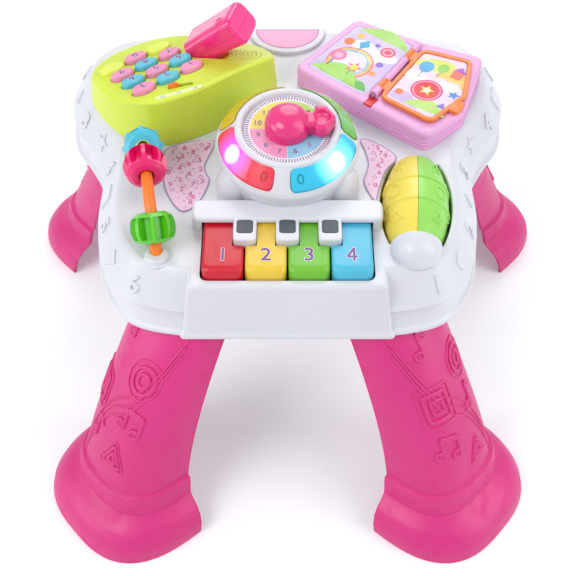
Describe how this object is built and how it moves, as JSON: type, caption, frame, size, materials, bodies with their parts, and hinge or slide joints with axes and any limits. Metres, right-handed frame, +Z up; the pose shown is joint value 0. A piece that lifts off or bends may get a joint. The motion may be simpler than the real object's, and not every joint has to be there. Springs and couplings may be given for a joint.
{
  "type": "musical activity table",
  "caption": "Low four-legged play table for toddlers with a phone corner, turning book page, dial with light buttons, piano keys, bead track and roller.",
  "frame": {"origin": "middle of the table's footprint, on the floor", "axes": "+Z up, front with the piano keys toward -Y, phone corner at -X +Y, book corner at +X +Y"},
  "size_m": [0.4882, 0.442, 0.3088],
  "materials": {
    "white_plastic": "smooth, slightly glossy",
    "leg_pink": "smooth, slightly glossy",
    "lime_plastic": "smooth, slightly glossy",
    "handset_magenta": "clear tinted, glossy",
    "knob_magenta": "glossy",
    "book_pink": "smooth, slightly glossy",
    "orange_plastic": "smooth, slightly glossy",
    "key_red": "glossy",
    "key_yellow": "glossy",
    "key_green": "glossy",
    "key_cyan": "glossy",
    "button_pink": "satin",
    "button_cyan": "satin",
    "dark_plastic": "satin",
    "steel": "drawn wire",
    "rubber_sheet": "matt",
    "printed_sheet": "printed film",
    "marker_red": "glossy",
    "nameplate_pink": "glossy",
    "bead_cyan": "glossy",
    "bead_magenta": "glossy",
    "bead_green": "glossy",
    "roller_yellow": "glossy",
    "roller_green": "glossy",
    "light_red": "clear tinted",
    "light_cyan": "clear tinted",
    "light_green": "clear tinted",
    "light_yellow": "clear tinted",
    "board_green": "lacquered"
  },
  "bodies": {
    "table": {"top_shell": "white_plastic", "bottom_shell": "white_plastic", "battery_door": "white_plastic", "battery_1": "dark_plastic", "battery_2": "dark_plastic", "circuit_board": "board_green", "dial_pod": "white_plastic", "dial_disc": "printed_sheet", "phone_console": "lime_plastic", "keypad_mat": "rubber_sheet", "loudspeaker": "dark_plastic", "book_housing": "book_pink", "left_page_sheet": "printed_sheet", "bookmark": "marker_red", "page_pin": "steel", "piano_hinge_rod": "steel", "key_strip_1": "dark_plastic", "key_strip_2": "dark_plastic", "key_strip_3": "dark_plastic", "bead_rod": "orange_plastic", "roller_axle": "steel", "nameplate": "nameplate_pink", "left_panel": "printed_sheet", "right_panel": "printed_sheet"},
    "pointer_knob": {"dial_knob": "knob_magenta"},
    "light_red": {"light_button_red": "light_red"},
    "light_cyan": {"light_button_cyan": "light_cyan"},
    "light_green": {"light_button_green": "light_green"},
    "light_yellow": {"light_button_yellow": "light_yellow"},
    "number_0": {"number_button_0": "button_pink"},
    "number_1": {"number_button_1": "button_pink"},
    "number_2": {"number_button_2": "button_cyan"},
    "number_3": {"number_button_3": "button_pink"},
    "number_4": {"number_button_4": "button_cyan"},
    "number_5": {"number_button_5": "button_pink"},
    "number_6": {"number_button_6": "button_cyan"},
    "number_7": {"number_button_7": "button_pink"},
    "number_8": {"number_button_8": "button_cyan"},
    "number_9": {"number_button_9": "button_pink"},
    "slider": {"volume_slider": "orange_plastic"},
    "page": {"page_frame": "orange_plastic", "page_card": "printed_sheet"},
    "key_1": {"piano_key_1": "key_red"},
    "key_2": {"piano_key_2": "key_yellow"},
    "key_3": {"piano_key_3": "key_green"},
    "key_4": {"piano_key_4": "key_cyan"},
    "roller": {"roller_yellow_half": "roller_yellow", "roller_green_half": "roller_green"},
    "bead_cyan": {"bead_cyan": "bead_cyan"},
    "bead_magenta": {"bead_magenta": "bead_magenta"},
    "bead_green": {"bead_green": "bead_green"},
    "handset": {"handset_front": "handset_magenta", "handset_back": "handset_magenta"},
    "leg_front_left": {"leg_front_left": "leg_pink"},
    "leg_front_right": {"leg_front_right": "leg_pink"},
    "leg_rear_left": {"leg_rear_left": "leg_pink"},
    "leg_rear_right": {"leg_rear_right": "leg_pink"}
  },
  "joints": [
    {"name": "knob_turn", "type": "hinge", "parent": "table", "child": "pointer_knob", "pos_m": [0, -0.01207, 0.285], "axis": [0, -0.1132, 0.9936], "continuous": true},
    {"name": "light_red_press", "type": "slide", "parent": "table", "child": "light_red", "axis": [0, 0.1132, -0.9936], "range_m": [0, 0.0025], "stiffness_N_per_m": 600, "springref_m": -0.001},
    {"name": "light_cyan_press", "type": "slide", "parent": "table", "child": "light_cyan", "axis": [0, 0.1132, -0.9936], "range_m": [0, 0.0025], "stiffness_N_per_m": 600, "springref_m": -0.001},
    {"name": "light_green_press", "type": "slide", "parent": "table", "child": "light_green", "axis": [0, 0.1132, -0.9936], "range_m": [0, 0.0025], "stiffness_N_per_m": 600, "springref_m": -0.001},
    {"name": "light_yellow_press", "type": "slide", "parent": "table", "child": "light_yellow", "axis": [0, 0.1132, -0.9936], "range_m": [0, 0.0025], "stiffness_N_per_m": 600, "springref_m": -0.001},
    {"name": "number_0_press", "type": "slide", "parent": "table", "child": "number_0", "axis": [0.146, -0.1937, -0.9701], "range_m": [0, 0.002], "stiffness_N_per_m": 500, "springref_m": -0.001},
    {"name": "number_1_press", "type": "slide", "parent": "table", "child": "number_1", "axis": [0.146, -0.1937, -0.9701], "range_m": [0, 0.002], "stiffness_N_per_m": 500, "springref_m": -0.001},
    {"name": "number_2_press", "type": "slide", "parent": "table", "child": "number_2", "axis": [0.146, -0.1937, -0.9701], "range_m": [0, 0.002], "stiffness_N_per_m": 500, "springref_m": -0.001},
    {"name": "number_3_press", "type": "slide", "parent": "table", "child": "number_3", "axis": [0.146, -0.1937, -0.9701], "range_m": [0, 0.002], "stiffness_N_per_m": 500, "springref_m": -0.001},
    {"name": "number_4_press", "type": "slide", "parent": "table", "child": "number_4", "axis": [0.146, -0.1937, -0.9701], "range_m": [0, 0.002], "stiffness_N_per_m": 500, "springref_m": -0.001},
    {"name": "number_5_press", "type": "slide", "parent": "table", "child": "number_5", "axis": [0.146, -0.1937, -0.9701], "range_m": [0, 0.002], "stiffness_N_per_m": 500, "springref_m": -0.001},
    {"name": "number_6_press", "type": "slide", "parent": "table", "child": "number_6", "axis": [0.146, -0.1937, -0.9701], "range_m": [0, 0.002], "stiffness_N_per_m": 500, "springref_m": -0.001},
    {"name": "number_7_press", "type": "slide", "parent": "table", "child": "number_7", "axis": [0.146, -0.1937, -0.9701], "range_m": [0, 0.002], "stiffness_N_per_m": 500, "springref_m": -0.001},
    {"name": "number_8_press", "type": "slide", "parent": "table", "child": "number_8", "axis": [0.146, -0.1937, -0.9701], "range_m": [0, 0.002], "stiffness_N_per_m": 500, "springref_m": -0.001},
    {"name": "number_9_press", "type": "slide", "parent": "table", "child": "number_9", "axis": [0.146, -0.1937, -0.9701], "range_m": [0, 0.002], "stiffness_N_per_m": 500, "springref_m": -0.001},
    {"name": "slider_move", "type": "slide", "parent": "table", "child": "slider", "axis": [0.9816, 0.1507, 0.1176], "range_m": [0, 0.011]},
    {"name": "page_turn", "type": "hinge", "parent": "table", "child": "page", "pos_m": [0.08831, 0.08808, 0.2557], "axis": [-0.5446, -0.8387, 0], "range_deg": [0, 175]},
    {"name": "key_1_press", "type": "hinge", "parent": "table", "child": "key_1", "pos_m": [0, -0.063, 0.2394], "axis": [1, 0, 0], "range_deg": [0, 4], "stiffness_Nm_per_rad": 0.8, "springref_deg": -3.44},
    {"name": "key_2_press", "type": "hinge", "parent": "table", "child": "key_2", "pos_m": [0, -0.063, 0.2394], "axis": [1, 0, 0], "range_deg": [0, 4], "stiffness_Nm_per_rad": 0.8, "springref_deg": -3.44},
    {"name": "key_3_press", "type": "hinge", "parent": "table", "child": "key_3", "pos_m": [0, -0.063, 0.2394], "axis": [1, 0, 0], "range_deg": [0, 4], "stiffness_Nm_per_rad": 0.8, "springref_deg": -3.44},
    {"name": "key_4_press", "type": "hinge", "parent": "table", "child": "key_4", "pos_m": [0, -0.063, 0.2394], "axis": [1, 0, 0], "range_deg": [0, 4], "stiffness_Nm_per_rad": 0.8, "springref_deg": -3.44},
    {"name": "roller_spin", "type": "hinge", "parent": "table", "child": "roller", "pos_m": [0.09645, -0.04499, 0.231], "axis": [0.0698, 0.9976, 0], "continuous": true},
    {"name": "bead_cyan_slide", "type": "hinge", "parent": "table", "child": "bead_cyan", "pos_m": [-0.10305, -0.0441, 0.21362], "axis": [0.9863, 0.165, 0], "range_deg": [-9, 7]},
    {"name": "bead_magenta_slide", "type": "hinge", "parent": "table", "child": "bead_magenta", "pos_m": [-0.10305, -0.0441, 0.21362], "axis": [0.9863, 0.165, 0], "range_deg": [-2, 15]},
    {"name": "bead_green_slide", "type": "hinge", "parent": "table", "child": "bead_green", "pos_m": [-0.10305, -0.0441, 0.21362], "axis": [0.9863, 0.165, 0], "range_deg": [-6, 1]},
    {"name": "handset_lift", "type": "slide", "parent": "table", "child": "handset", "axis": [0.6018, 0, 0.7986], "range_m": [0, 0.03]},
    {"name": "leg_front_left_pull", "type": "slide", "parent": "table", "child": "leg_front_left", "axis": [0, 0, -1], "range_m": [0, 0.02]},
    {"name": "leg_front_right_pull", "type": "slide", "parent": "table", "child": "leg_front_right", "axis": [0, 0, -1], "range_m": [0, 0.02]},
    {"name": "leg_rear_left_pull", "type": "slide", "parent": "table", "child": "leg_rear_left", "axis": [0, 0, -1], "range_m": [0, 0.02]},
    {"name": "leg_rear_right_pull", "type": "slide", "parent": "table", "child": "leg_rear_right", "axis": [0, 0, -1], "range_m": [0, 0.02]}
  ]
}
